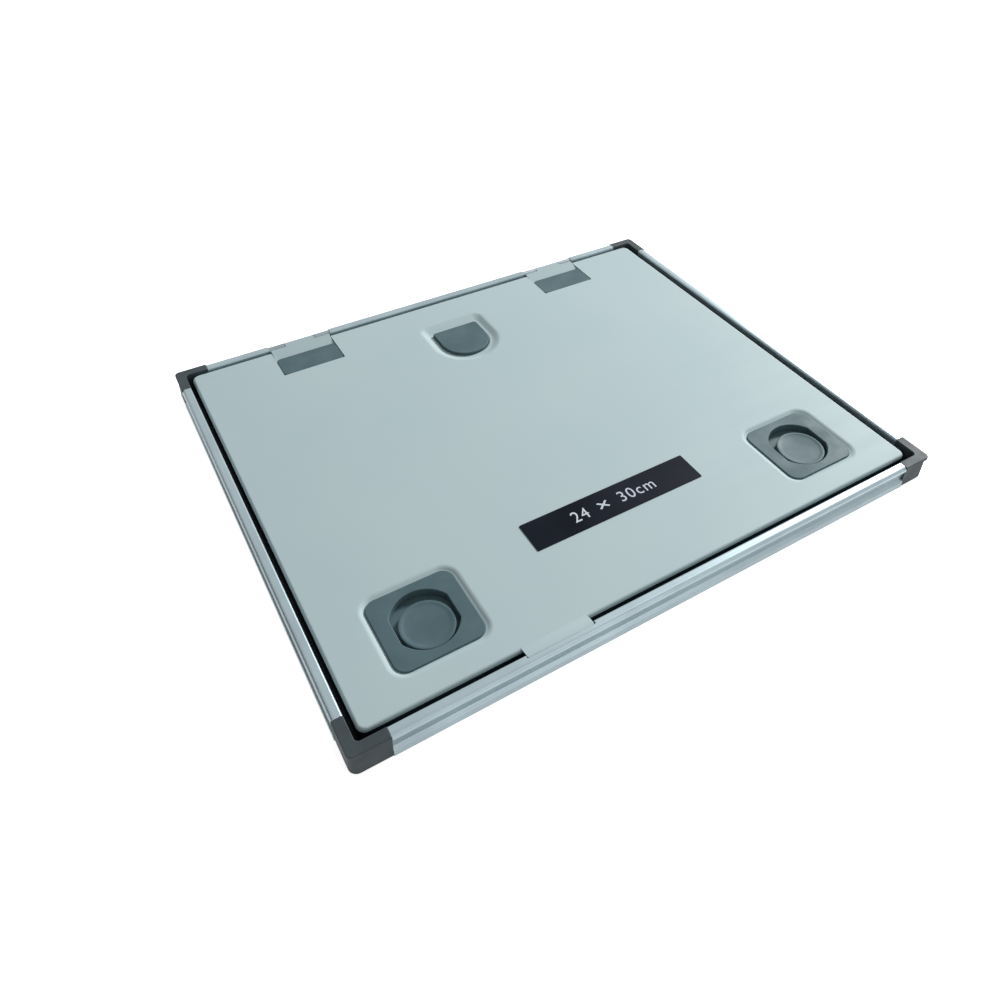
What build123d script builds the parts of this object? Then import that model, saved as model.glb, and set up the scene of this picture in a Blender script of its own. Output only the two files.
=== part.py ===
"""X-ray film cassette for 24 x 30 cm film, lying on its tube side with the lid up.

Origin: centre of the underside. X runs along the long side, Y from the latches to the hinges, Z up.
Every size is in millimetres.
"""

from build123d import *
import os

# ---------------------------------------------------------------- overall
length = 327.0
width = 267.0
thickness = 15.0
half_length = length / 2
half_width = width / 2

# ---------------------------------------------------------------- frame rails
rail_width = 5.2
rail_edge_radius = 2.0
rail_inner_radius = 1.0
rail_foot_radius = 2.0
groove_high = 12.6
groove_waist = (1.1, 10.0)
groove_root = (1.5, 6.4)
groove_low = 5.2
lip_reach = 9.2
lip_height = 0.7
chamber_outer = 2.6
chamber_inner = 4.0
chamber_low = 3.6
chamber_high = 8.5

# ---------------------------------------------------------------- corner caps
cap_leg = 18.0
cap_lip_height = 1.6
cap_lip_radius = 2.6
cap_body_inset = 0.4
cap_body_radius = 4.0
cap_foot_inset = 1.6
cap_inner_radius = 2.0
cap_top_fillet = 0.4
tenon_length = 12.0
tenon_play = 0.05

# ---------------------------------------------------------------- tube-side stack
panel_play = 0.1
panel_height = 1.6
panel_radius = 2.3
screen_radius = 1.0
panel_top = lip_height + panel_height
film_length = 300.0
film_width = 240.0
screen_height = 0.5
film_gap = 0.3
felt_width = 4.0
felt_height = 1.3
felt_clearance = 0.7
felt_inset = rail_width + felt_clearance

# ---------------------------------------------------------------- lid sheet
lid_gap = 2.8
lid_front_gap = 3.4
lid_rear_gap = 1.0
rim_step = 1.4
sheet = 0.8
lid_inset = rail_width + lid_gap
lid_length = length - 2 * lid_inset
lid_front = -half_width + rail_width + lid_front_gap
lid_rear = half_width - rail_width - lid_rear_gap
lid_width = lid_rear - lid_front
lid_middle = (lid_front + lid_rear) / 2
lid_top = thickness - rim_step
lid_under = lid_top - sheet
lid_corner = 4.0
lid_edge_radius = 1.4
skirt_clearance = 0.2
skirt_foot = panel_top + felt_height + skirt_clearance

# ---------------------------------------------------------------- lid stack
foam_height = 1.7
foam_margin = 1.0
lead_height = 0.3
tray_sheet = 0.7
tray_play = 0.1
tray_flange_top = 9.9
rear_screen_foot = panel_top + screen_height + film_gap
foam_foot = rear_screen_foot + screen_height
lead_foot = foam_foot + foam_height
tray_foot = lead_foot + lead_height
tray_top = tray_foot + tray_sheet

# ---------------------------------------------------------------- front lift tongue
tongue_x = -66.3
tongue_width = 33.2
tongue_height = 0.9
tongue_tip_inset = 3.6
tongue_tip_top = 14.6
tongue_root_inset = 11.5
tongue_notch_inset = 3.3
tongue_notch_foot = 12.6
tongue_play = 0.5

# ---------------------------------------------------------------- size plate
plate_length = 99.0
plate_width = 17.7
plate_height = 0.4
plate_corner = 0.6
plate_y = -74.6

# ---------------------------------------------------------------- dish and plug
dish_floor = lid_top - 1.9
dish_front = 65.8
dish_rear = 99.6
dish_half = 17.2
dish_slope = 4.0
dish_fade = 6.0
plug_front = 68.5
plug_rear = 97.4
plug_half = 15.0
plug_play = 0.3
plug_sink = 0.2
plug_top = lid_top - plug_sink
plug_fillet = 0.4
plug_flange = 1.8
plug_flange_height = 0.7
plug_corner = 1.5

# ---------------------------------------------------------------- hinges
hinge_places = (-89.7, 89.7)
pin_radius = 1.0
knuckle_radius = 2.1
knuckle_y = half_width - 2.8
knuckle_z = 12.7
middle_knuckle = 18.1
bracket_length = 38.4
knuckle_gap = 0.3
fixed_play = 0.02
running_play = 0.06
notch_foot = 9.3
notch_play = 0.1
bracket_base_top = 10.4
bracket_setback = 0.7
bracket_leg = 0.8
bracket_leg_foot = 4.5
leaf_length = 36.7
leaf_height = 0.8
leaf_front = 103.0
leaf_bend = 119.6
leaf_clearance = 2.5
channel_floor = lid_top - 1.9
channel_play = 0.35
pad_width = 16.6
pad_y = 110.7
pad_height = 0.9
pad_corner = 2.6
pad_fillet = 0.4
leaf_rivet_spots = (-12.0, 0.0, 12.0)
bracket_rivet_spots = (-12.0, 12.0)
bracket_rivet_z = 6.8
bracket_rivet_sink = 0.4
rivet_play = 0.05

# ---------------------------------------------------------------- latches
latch_places = (-111.0, 111.0)
latch_y = -90.1
bezel_length = 43.0
bezel_width = 40.3
bezel_corner = 6.0
bezel_flange = 1.0
bezel_sink = 0.3
bezel_play = 0.3
bezel_fillet = 0.5
bezel_slope = 2.0
bezel_body_length = 32.4
bezel_body_width = 34.4
bezel_body_corner = 4.0
bezel_foot = 9.2
well_radius = 15.5
well_flat = 14.0
well_chamfer = 0.4
bezel_seat = lid_top - bezel_sink - bezel_flange
thumb_rest = -2.25
thumb_radius = 12.6
thumb_dish_radius = 10.4
thumb_dish_depth = 0.4
thumb_top = 12.1
slide_foot = 8.2
slide_height = 0.8
slide_length = 32.4
slide_width = 36.6
slide_corner = 3.0
peg_radius = 1.5
peg_spread = 6.0
bolt_foot = 7.1
bolt_height = 1.0
bolt_half = 7.0
bolt_tip_inset = 3.4
bolt_rear_reach = 18.1
bolt_rear = latch_y + bolt_rear_reach
bolt_tab = 1.0
bolt_nose = 0.8
slot_play = 0.5
slot_rise = 0.2
slot_low = bolt_foot - slot_rise
slot_high = bolt_foot + bolt_height + slot_rise
guide_clearance = 0.1
guide_floor_foot = tray_top + guide_clearance
guide_sheet = 0.6
guide_wall = 0.8
guide_wall_inner = 16.6
guide_wall_top = 9.0
guide_front = -119.0
guide_reach = 16.0
guide_flange = 4.0
guide_end_top = 10.4
spring_radius = 1.6
spring_bore = 1.1
spring_length = 11.0
spring_z = 8.7
guide_rivet_x = 19.4
guide_rivet_y = 12.0

# ---------------------------------------------------------------- rivets
rivet_radius = 1.2
rivet_head_radius = 2.0
rivet_head_height = 0.6

LOW = (Align.CENTER, Align.CENTER, Align.MIN)


def save(part, name):
    """Label a finished piece and write it to its own file."""
    part.label = name
    export_step(part, f"parts/{name}.step")


def cut_box(x_span, y_span, z_span):
    """Remove a block given by its low and high limits along each axis."""
    spans = (x_span, y_span, z_span)
    middle = tuple((low + high) / 2 for low, high in spans)
    size = tuple(high - low for low, high in spans)
    with Locations(middle):
        Box(*size, mode=Mode.SUBTRACT)


def add_box(x_span, y_span, z_span):
    """Add a block given by its low and high limits along each axis."""
    spans = (x_span, y_span, z_span)
    middle = tuple((low + high) / 2 for low, high in spans)
    size = tuple(high - low for low, high in spans)
    with Locations(middle):
        Box(*size)


def around(centre, half):
    """The span that reaches half to each side of a centre."""
    return (centre - half, centre + half)


def rounded_slab(size, corner, foot, height, place=(0.0, 0.0), mode=Mode.ADD):
    """Add or cut a flat plate with rounded corners."""
    with BuildSketch(Plane((place[0], place[1], foot))) as outline:
        RectangleRounded(size[0], size[1], corner)
    extrude(outline.sketch, amount=height, mode=mode)


def add_rail(start, inward, along, rail_length):
    """Add one extruded rail: hollowed side, rounded top edges and foot, panel lip and chamber."""
    with BuildSketch(Plane(origin=start, x_dir=inward, z_dir=along)) as section:
        with BuildLine():
            Polyline(
                (rail_foot_radius, 0),
                (lip_reach, 0),
                (lip_reach, lip_height),
                (rail_width, lip_height),
                (rail_width, thickness - rail_inner_radius),
            )
            inner_middle = (rail_width - rail_inner_radius, thickness - rail_inner_radius)
            CenterArc(inner_middle, rail_inner_radius, 0, 90)
            Line((inner_middle[0], thickness), (rail_edge_radius, thickness))
            CenterArc((rail_edge_radius, thickness - rail_edge_radius), rail_edge_radius, 90, 90)
            Line((0, thickness - rail_edge_radius), (0, groove_high))
            ThreePointArc((0, groove_high), groove_waist, groove_root)
            Polyline(groove_root, (0, groove_low), (0, rail_foot_radius))
            CenterArc((rail_foot_radius, rail_foot_radius), rail_foot_radius, 180, 90)
        make_face()
        with Locations(((chamber_outer + chamber_inner) / 2, (chamber_low + chamber_high) / 2)):
            Rectangle(chamber_inner - chamber_outer, chamber_high - chamber_low, mode=Mode.SUBTRACT)
    extrude(section.sketch, amount=rail_length)


def corner_square(level, side_x, side_y, inset, corner):
    """Draw the square between an inset from the frame's outside and the cap's ends."""
    size = cap_leg - inset
    middle = (
        side_x * (half_length - inset - size / 2),
        side_y * (half_width - inset - size / 2),
        level,
    )
    with BuildSketch(Plane(middle)) as square:
        Rectangle(size, size)
        fillet(square.vertices().sort_by(lambda v: side_x * v.X + side_y * v.Y)[-1], corner)
    return square.sketch


def ell(level, side_x, side_y, outer, inner, corner):
    """Draw the L of a corner cap between two insets from the frame's outside."""
    with BuildSketch(Plane.XY.offset(level)) as outline:
        add(corner_square(0.0, side_x, side_y, outer, corner))
        add(corner_square(0.0, side_x, side_y, inner, cap_inner_radius), mode=Mode.SUBTRACT)
    return outline.sketch


def d_shape(level, front, rear, half, corner):
    """Draw a plate outline with a half-round front and a flat rear."""
    with BuildSketch(Plane.XY.offset(level)) as outline:
        with BuildLine():
            Polyline((-half, front + half), (-half, rear), (half, rear), (half, front + half))
            CenterArc((0, front + half), half, 180, 180)
        make_face()
        fillet(outline.vertices().group_by(Axis.Y)[-1], corner)
    return outline.sketch


def press_bezel_recess(x, floor, grow):
    """Cut the sloping recess that a latch bezel sits in, or its underside."""
    top = floor + bezel_sink + bezel_flange
    sections = []
    for level, spread in ((top, bezel_slope), (floor, 0.0)):
        with BuildSketch(Plane((x, latch_y, level))) as outline:
            RectangleRounded(
                bezel_length + 2 * (bezel_play + spread + grow),
                bezel_width + 2 * (bezel_play + spread + grow),
                bezel_corner + spread + grow,
            )
        sections.append(outline.sketch)
    loft(sections, ruled=True, mode=Mode.SUBTRACT)


def press_dish(floor, grow):
    """Cut the dish round the plug, steep in front and at the sides and fading out at the rear."""
    mouth = d_shape(
        floor + lid_top - dish_floor,
        dish_front - dish_slope - grow,
        dish_rear + dish_fade + grow,
        dish_half + dish_slope + grow,
        plug_corner + dish_slope,
    )
    bottom = d_shape(floor, dish_front - grow, dish_rear + grow, dish_half + grow, plug_corner)
    loft([mouth, bottom], ruled=True, mode=Mode.SUBTRACT)


def leaf_section(x, end_y):
    """Draw the hinge leaf from its flat tail up its ramp, as far as end_y."""
    tail_top = channel_floor + leaf_height
    knuckle_top = knuckle_z + knuckle_radius
    climb = (knuckle_top - tail_top) / (knuckle_y - leaf_bend)
    end_top = tail_top + climb * (end_y - leaf_bend)
    with BuildSketch(Plane.YZ.offset(x)) as section:
        with BuildLine():
            Polyline(
                (leaf_front, channel_floor),
                (leaf_bend, channel_floor),
                (end_y, end_top - leaf_height),
                (end_y, end_top),
                (leaf_bend, tail_top),
                (leaf_front, tail_top),
                close=True,
            )
        make_face()
    return section.sketch


def x_cylinder(x_span, radius, mode=Mode.ADD):
    """Add or cut a round bar along the hinge axis."""
    with BuildSketch(Plane.YZ.offset(x_span[0])) as bar:
        with Locations((knuckle_y, knuckle_z)):
            Circle(radius)
    extrude(bar.sketch, amount=x_span[1] - x_span[0], mode=mode)


def y_bar(place, y_span, radius, mode=Mode.ADD):
    """Add or cut a round bar along Y, at a place given by X and Z."""
    with BuildSketch(Plane.XZ.offset(-y_span[0])) as bar:
        with Locations(place):
            Circle(radius)
    extrude(bar.sketch, amount=-(y_span[1] - y_span[0]), mode=mode)


os.makedirs("parts", exist_ok=True)

# ================================================================ frame
rail_run_x = length - 2 * cap_leg
rail_run_y = width - 2 * cap_leg

with BuildPart() as frame_rail_front:
    add_rail((-half_length + cap_leg, -half_width, 0), (0, 1, 0), (1, 0, 0), rail_run_x)
    for latch_x in latch_places:
        cut_box(
            around(latch_x, bolt_half + slot_play),
            (-half_width + chamber_outer, -half_width + rail_width),
            (slot_low, slot_high),
        )
    cut_box(
        around(tongue_x, tongue_width / 2 + tongue_play),
        (-half_width + tongue_notch_inset, -half_width + rail_width),
        (tongue_notch_foot, thickness),
    )
save(frame_rail_front.part, "frame_rail_front")

with BuildPart() as frame_rail_rear:
    add_rail((half_length - cap_leg, half_width, 0), (0, -1, 0), (-1, 0, 0), rail_run_x)
    for hinge_x in hinge_places:
        cut_box(
            around(hinge_x, bracket_length / 2 + notch_play),
            (half_width - rail_width, half_width),
            (notch_foot, thickness),
        )
        cut_box(
            around(hinge_x, bracket_length / 2 + notch_play),
            (half_width - rail_width, half_width - rail_width + bracket_leg),
            (bracket_leg_foot, notch_foot),
        )
        for spot in bracket_rivet_spots:
            y_bar(
                (hinge_x + spot, bracket_rivet_z),
                (half_width - rail_width, half_width - chamber_inner),
                rivet_radius + rivet_play,
                Mode.SUBTRACT,
            )
save(frame_rail_rear.part, "frame_rail_rear")

with BuildPart() as frame_rail_left:
    add_rail((-half_length, half_width - cap_leg, 0), (1, 0, 0), (0, -1, 0), rail_run_y)
save(frame_rail_left.part, "frame_rail_left")

with BuildPart() as frame_rail_right:
    add_rail((half_length, -half_width + cap_leg, 0), (-1, 0, 0), (0, 1, 0), rail_run_y)
save(frame_rail_right.part, "frame_rail_right")

corners = {
    "front_left": (-1, -1),
    "front_right": (1, -1),
    "rear_left": (-1, 1),
    "rear_right": (1, 1),
}
tenon_middle = (chamber_outer + chamber_inner) / 2
tenon_width = chamber_inner - chamber_outer - 2 * tenon_play
tenon_height = chamber_high - chamber_low - 2 * tenon_play
tenon_reach = cap_leg + tenon_length
tenon_root = cap_leg - rail_width

for corner_name, (side_x, side_y) in corners.items():
    with BuildPart() as corner_cap:
        # tapered foot, then the body with its rounder corner
        foot = ell(0.0, side_x, side_y, cap_foot_inset, rail_width, cap_body_radius)
        body = ell(cap_foot_inset, side_x, side_y, cap_body_inset, rail_width, cap_body_radius)
        loft([foot, body], ruled=True)
        extrude(body, amount=thickness - cap_lip_height - cap_foot_inset)
        # top lip, out to the full outline
        lip_foot = thickness - cap_lip_height
        extrude(ell(lip_foot, side_x, side_y, 0.0, rail_width, cap_lip_radius), amount=cap_lip_height)
        fillet(corner_cap.edges().group_by(Axis.Z)[-1], cap_top_fillet)
        # shelf under the panel's corner
        extrude(ell(0.0, side_x, side_y, rail_width, lip_reach, cap_inner_radius), amount=lip_height)
        # tenons that plug into the rails
        tenon_z = (chamber_low + chamber_high) / 2
        with Locations((
            side_x * (half_length - (tenon_reach + tenon_root) / 2),
            side_y * (half_width - tenon_middle),
            tenon_z,
        )):
            Box(tenon_reach - tenon_root, tenon_width, tenon_height)
        with Locations((
            side_x * (half_length - tenon_middle),
            side_y * (half_width - (tenon_reach + tenon_root) / 2),
            tenon_z,
        )):
            Box(tenon_width, tenon_reach - tenon_root, tenon_height)
    save(corner_cap.part, f"corner_cap_{corner_name}")

with BuildPart() as front_panel:
    inset = rail_width + panel_play
    rounded_slab((length - 2 * inset, width - 2 * inset), panel_radius, lip_height, panel_height)
save(front_panel.part, "front_panel")

with BuildPart() as front_screen:
    rounded_slab((film_length, film_width), screen_radius, panel_top, screen_height)
save(front_screen.part, "front_screen")

felt_reach_x = half_length - felt_inset
felt_reach_y = half_width - felt_inset
for name, side_y in (("front", -1), ("rear", 1)):
    with BuildPart() as felt_strip:
        with Locations((0, side_y * (felt_reach_y - felt_width / 2), panel_top)):
            Box(2 * felt_reach_x, felt_width, felt_height, align=LOW)
    save(felt_strip.part, f"felt_strip_{name}")
for name, side_x in (("left", -1), ("right", 1)):
    with BuildPart() as felt_strip:
        with Locations((side_x * (felt_reach_x - felt_width / 2), 0, panel_top)):
            Box(felt_width, 2 * (felt_reach_y - felt_width), felt_height, align=LOW)
    save(felt_strip.part, f"felt_strip_{name}")

# ================================================================ hinges
rail_inner_y = half_width - rail_width
for hinge_x, side in zip(hinge_places, ("left", "right")):
    end_outer = bracket_length / 2
    end_inner = middle_knuckle / 2 + knuckle_gap

    with BuildPart() as hinge_bracket:
        add_box(
            around(hinge_x, end_outer),
            (rail_inner_y, half_width - bracket_setback),
            (notch_foot, bracket_base_top),
        )
        add_box(
            around(hinge_x, end_outer),
            (rail_inner_y, rail_inner_y + bracket_leg),
            (bracket_leg_foot, notch_foot),
        )
        for low, high in ((-end_outer, -end_inner), (end_inner, end_outer)):
            ends = (hinge_x + low, hinge_x + high)
            add_box(ends, around(knuckle_y, knuckle_radius), (bracket_base_top, knuckle_z))
            x_cylinder(ends, knuckle_radius)
            x_cylinder(ends, pin_radius + fixed_play, mode=Mode.SUBTRACT)
        for spot in bracket_rivet_spots:
            place = (hinge_x + spot, bracket_rivet_z)
            for depth, radius in ((bracket_leg, rivet_radius), (bracket_rivet_sink, rivet_head_radius)):
                y_bar(place, (rail_inner_y, rail_inner_y + depth), radius + rivet_play, Mode.SUBTRACT)
    save(hinge_bracket.part, f"hinge_bracket_{side}")

    with BuildPart() as hinge_pin:
        x_cylinder(around(hinge_x, end_outer), pin_radius)
    save(hinge_pin.part, f"hinge_pin_{side}")

    with BuildPart() as hinge_leaf:
        plate = leaf_section(hinge_x - leaf_length / 2, knuckle_y - leaf_clearance)
        extrude(plate, amount=leaf_length)
        tongue = leaf_section(hinge_x - middle_knuckle / 2, knuckle_y)
        extrude(tongue, amount=middle_knuckle)
        x_cylinder(around(hinge_x, middle_knuckle / 2), knuckle_radius)
        x_cylinder(around(hinge_x, middle_knuckle / 2), pin_radius + running_play, mode=Mode.SUBTRACT)
        for spot in leaf_rivet_spots:
            with Locations((hinge_x + spot, pad_y, channel_floor)):
                Cylinder(rivet_radius + rivet_play, leaf_height, align=LOW, mode=Mode.SUBTRACT)
    save(hinge_leaf.part, f"hinge_leaf_{side}")

    with BuildPart() as hinge_pad:
        pad_foot = channel_floor + leaf_height
        rounded_slab((leaf_length, pad_width), pad_corner, pad_foot, pad_height, (hinge_x, pad_y))
        fillet(hinge_pad.edges().group_by(Axis.Z)[-1], pad_fillet)
    save(hinge_pad.part, f"hinge_pad_{side}")

with BuildPart() as bracket_rivets:
    for hinge_x in hinge_places:
        for spot in bracket_rivet_spots:
            place = (hinge_x + spot, bracket_rivet_z)
            y_bar(place, (rail_inner_y, rail_inner_y + bracket_rivet_sink), rivet_head_radius)
            y_bar(place, (rail_inner_y, half_width - chamber_inner), rivet_radius)
save(bracket_rivets.part, "bracket_rivets")

with BuildPart() as leaf_rivets:
    for hinge_x in hinge_places:
        for spot in leaf_rivet_spots:
            with Locations((hinge_x + spot, pad_y, channel_floor - sheet)):
                Cylinder(rivet_radius, sheet + leaf_height, align=LOW)
            with Locations((hinge_x + spot, pad_y, channel_floor - sheet - rivet_head_height)):
                Cylinder(rivet_head_radius, rivet_head_height, align=LOW)
save(leaf_rivets.part, "leaf_rivets")

# ================================================================ lid
channel_half = leaf_length / 2 + channel_play
channel_front = pad_y - pad_width / 2 - channel_play
guide_rivet_points = [
    (latch_x + side_x * guide_rivet_x, latch_y + side_y * guide_rivet_y)
    for latch_x in latch_places
    for side_x in (-1, 1)
    for side_y in (-1, 1)
]

hollow_size = (lid_length - 2 * sheet, lid_width - 2 * sheet)
hollow_height = lid_under - skirt_foot

# the space under the sheet, which stays one sheet's thickness clear of every pressing
with BuildPart() as lid_hollow:
    rounded_slab(hollow_size, lid_corner - sheet, skirt_foot, hollow_height, (0.0, lid_middle))
    fillet(lid_hollow.edges().group_by(Axis.Z)[-1], lid_edge_radius - sheet)
    for hinge_x in hinge_places:
        cut_box(
            around(hinge_x, channel_half + sheet),
            (channel_front - sheet, lid_rear),
            (channel_floor - sheet, lid_under),
        )
    for latch_x in latch_places:
        press_bezel_recess(latch_x, bezel_seat - sheet, sheet)
    press_dish(dish_floor - sheet, sheet)

with BuildPart() as back_cover:
    rounded_slab(
        (lid_length, lid_width), lid_corner, skirt_foot, lid_top - skirt_foot, (0.0, lid_middle)
    )
    fillet(back_cover.edges().group_by(Axis.Z)[-1], lid_edge_radius)
    add(lid_hollow.part, mode=Mode.SUBTRACT)

    # hinge channels, open at the rear edge
    for hinge_x in hinge_places:
        cut_box(
            around(hinge_x, channel_half),
            (channel_front, lid_rear),
            (channel_floor, lid_top),
        )
        for spot in leaf_rivet_spots:
            with Locations((hinge_x + spot, pad_y, channel_floor - sheet)):
                Cylinder(rivet_radius + rivet_play, sheet, align=LOW, mode=Mode.SUBTRACT)

    # latch recesses, with the hole for the bezel's body and the bolt slot in the skirt
    for latch_x in latch_places:
        press_bezel_recess(latch_x, bezel_seat, 0.0)
        rounded_slab(
            (bezel_body_length + 2 * bezel_play, bezel_body_width + 2 * bezel_play),
            bezel_body_corner + bezel_play,
            bezel_seat - sheet,
            sheet,
            (latch_x, latch_y),
            Mode.SUBTRACT,
        )
        cut_box(
            around(latch_x, bolt_half + slot_play),
            (lid_front, lid_front + sheet),
            (slot_low, slot_high),
        )
    for rivet_x, rivet_y in guide_rivet_points:
        with Locations((rivet_x, rivet_y, bezel_seat - sheet)):
            Cylinder(rivet_radius + rivet_play, sheet, align=LOW, mode=Mode.SUBTRACT)

    # dish round the plug
    press_dish(dish_floor, 0.0)
    hole = (plug_front - plug_play, plug_rear + plug_play, plug_half + plug_play, plug_corner)
    extrude(d_shape(dish_floor - sheet, *hole), amount=sheet, mode=Mode.SUBTRACT)

    # lift tongue at the front edge
    with BuildSketch(Plane.YZ.offset(tongue_x - tongue_width / 2)):
        with BuildLine():
            root_y = -half_width + tongue_root_inset
            edge_y = lid_front + lid_edge_radius / 2
            step_y = -half_width + rail_width
            tip_y = -half_width + tongue_tip_inset
            Polyline(
                (root_y, lid_under),
                (root_y, lid_top),
                (edge_y, lid_top),
                (step_y, tongue_tip_top),
                (tip_y, tongue_tip_top),
                (tip_y, tongue_tip_top - tongue_height),
                (step_y, tongue_tip_top - tongue_height),
                (edge_y, lid_under),
                close=True,
            )
        make_face()
    extrude(amount=tongue_width)
save(back_cover.part, "back_cover")

with BuildPart() as plug:
    flange_foot = dish_floor - sheet - plug_flange_height
    flange = (plug_front - plug_flange, plug_rear + plug_flange, plug_half + plug_flange, plug_corner)
    extrude(d_shape(flange_foot, *flange), amount=plug_flange_height)
    face_height = plug_top - (dish_floor - sheet)
    boss = d_shape(dish_floor - sheet, plug_front, plug_rear, plug_half, plug_corner)
    extrude(boss, amount=face_height)
    fillet(plug.edges().group_by(Axis.Z)[-1], plug_fillet)
save(plug.part, "dish_plug")

with BuildPart() as size_plate:
    rounded_slab((plate_length, plate_width), plate_corner, lid_top, plate_height, (0.0, plate_y))
save(size_plate.part, "size_plate")

with BuildPart() as pressure_tray:
    outer_x = lid_length - 2 * (sheet + tray_play)
    outer_y = lid_width - 2 * (sheet + tray_play)
    tray_front = lid_middle - outer_y / 2
    tray_corner = lid_corner - sheet
    rounded_slab(
        (outer_x, outer_y), tray_corner, tray_foot, tray_flange_top - tray_foot, (0.0, lid_middle)
    )
    rounded_slab(
        (outer_x - 2 * tray_sheet, outer_y - 2 * tray_sheet),
        tray_corner - tray_sheet,
        tray_top,
        tray_flange_top - tray_top,
        (0.0, lid_middle),
        Mode.SUBTRACT,
    )
    for latch_x in latch_places:
        cut_box(
            around(latch_x, bolt_half + slot_play),
            (tray_front, tray_front + tray_sheet),
            (slot_low, slot_high),
        )
save(pressure_tray.part, "pressure_tray")

backing = (film_length + 2 * foam_margin, film_width + 2 * foam_margin)
with BuildPart() as lead_foil:
    rounded_slab(backing, screen_radius, lead_foot, lead_height)
save(lead_foil.part, "lead_foil")

with BuildPart() as foam_pad:
    rounded_slab(backing, screen_radius, foam_foot, foam_height)
save(foam_pad.part, "foam_pad")

with BuildPart() as rear_screen:
    rounded_slab((film_length, film_width), screen_radius, rear_screen_foot, screen_height)
save(rear_screen.part, "rear_screen")

# ================================================================ latches
for latch_x, side in zip(latch_places, ("left", "right")):
    with BuildPart() as latch_bezel:
        place = (latch_x, latch_y)
        rounded_slab((bezel_length, bezel_width), bezel_corner, bezel_seat, bezel_flange, place)
        fillet(latch_bezel.edges().group_by(Axis.Z)[-1], bezel_fillet)
        rounded_slab(
            (bezel_body_length, bezel_body_width),
            bezel_body_corner,
            bezel_foot,
            bezel_seat - bezel_foot,
            place,
        )
        with BuildSketch(Plane((latch_x, latch_y, bezel_foot))):
            Circle(well_radius)
            Rectangle(2 * well_flat, 2 * well_radius, mode=Mode.INTERSECT)
        extrude(amount=lid_top - bezel_foot, mode=Mode.SUBTRACT)
        mouth = latch_bezel.faces().sort_by(Axis.Z)[-1].inner_wires()[0]
        chamfer(mouth.edges(), well_chamfer)
    save(latch_bezel.part, f"latch_bezel_{side}")

    with BuildPart() as latch_guide:
        wall = (guide_wall_inner, guide_wall_inner + guide_wall)
        guide_y = (guide_front, bolt_rear + spring_length + guide_wall)
        mouth_y = around(latch_y, guide_reach)
        add_box(
            around(latch_x, wall[1]), guide_y, (guide_floor_foot, guide_floor_foot + guide_sheet)
        )
        for side_x in (-1, 1):
            low_wall = sorted(latch_x + side_x * edge for edge in wall)
            add_box(low_wall, guide_y, (guide_floor_foot, guide_wall_top))
            add_box(low_wall, mouth_y, (guide_floor_foot, bezel_seat - sheet))
            ear = sorted((latch_x + side_x * wall[0], latch_x + side_x * (wall[1] + guide_flange)))
            add_box(ear, mouth_y, (bezel_seat - sheet - guide_sheet, bezel_seat - sheet))
            for side_y in (-1, 1):
                with Locations((
                    latch_x + side_x * guide_rivet_x,
                    latch_y + side_y * guide_rivet_y,
                    bezel_seat - sheet - guide_sheet,
                )):
                    Cylinder(rivet_radius + rivet_play, guide_sheet, align=LOW, mode=Mode.SUBTRACT)
        add_box(
            around(latch_x, wall[1]),
            (guide_y[1] - guide_wall, guide_y[1]),
            (guide_floor_foot, guide_end_top),
        )
    save(latch_guide.part, f"latch_guide_{side}")

    with BuildPart() as thumb_slide:
        thumb_y = latch_y + thumb_rest
        slide_top = slide_foot + slide_height
        rounded_slab(
            (slide_length, slide_width), slide_corner, slide_foot, slide_height, (latch_x, thumb_y)
        )
        with Locations((latch_x, thumb_y, slide_top)):
            Cylinder(thumb_radius, thumb_top - slide_top, align=LOW)
        with Locations((latch_x, thumb_y, thumb_top - thumb_dish_depth)):
            Cylinder(thumb_dish_radius, thumb_dish_depth, align=LOW, mode=Mode.SUBTRACT)
        for side_y in (-1, 1):
            with Locations((latch_x, thumb_y + side_y * peg_spread, bolt_foot)):
                Cylinder(peg_radius, slide_foot - bolt_foot, align=LOW)
    save(thumb_slide.part, f"thumb_slide_{side}")

    with BuildPart() as latch_bolt:
        tip_y = -half_width + bolt_tip_inset
        add_box(
            around(latch_x, bolt_half), (tip_y, bolt_rear), (bolt_foot, bolt_foot + bolt_height)
        )
        chamfer(
            latch_bolt.edges().filter_by(Axis.Z).group_by(Axis.Y)[0], bolt_nose
        )
        add_box(
            around(latch_x, bolt_half),
            (bolt_rear - bolt_tab, bolt_rear),
            (bolt_foot, slide_foot + slide_height),
        )
        for side_y in (-1, 1):
            with Locations((latch_x, thumb_y + side_y * peg_spread, bolt_foot)):
                Cylinder(peg_radius + tenon_play, bolt_height, align=LOW, mode=Mode.SUBTRACT)
    save(latch_bolt.part, f"latch_bolt_{side}")

    with BuildPart() as latch_spring:
        with BuildSketch(Plane.XZ.offset(-bolt_rear)):
            with Locations((latch_x, spring_z)):
                Circle(spring_radius)
                Circle(spring_bore, mode=Mode.SUBTRACT)
        extrude(amount=-spring_length)
    save(latch_spring.part, f"latch_spring_{side}")

with BuildPart() as guide_rivets:
    for rivet_x, rivet_y in guide_rivet_points:
        rivet_foot = bezel_seat - sheet - guide_sheet
        with Locations((rivet_x, rivet_y, rivet_foot)):
            Cylinder(rivet_radius, guide_sheet + sheet, align=LOW)
        with Locations((rivet_x, rivet_y, rivet_foot - rivet_head_height)):
            Cylinder(rivet_head_radius, rivet_head_height, align=LOW)
save(guide_rivets.part, "guide_rivets")
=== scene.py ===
"""X-ray film cassette for 24 x 30 cm film, finished for rendering.

Everything is in metres in the part's own frame: the origin is the centre of the underside, X runs
along the long side, Y from the latches to the hinges and Z up. Details are given in millimetres
and turned into metres with MM, or with mm() and run() where several stand together.
"""

from __future__ import annotations

import logging
import math
from collections.abc import Callable, Iterable
from dataclasses import dataclass
from enum import Enum
from functools import cache

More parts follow.
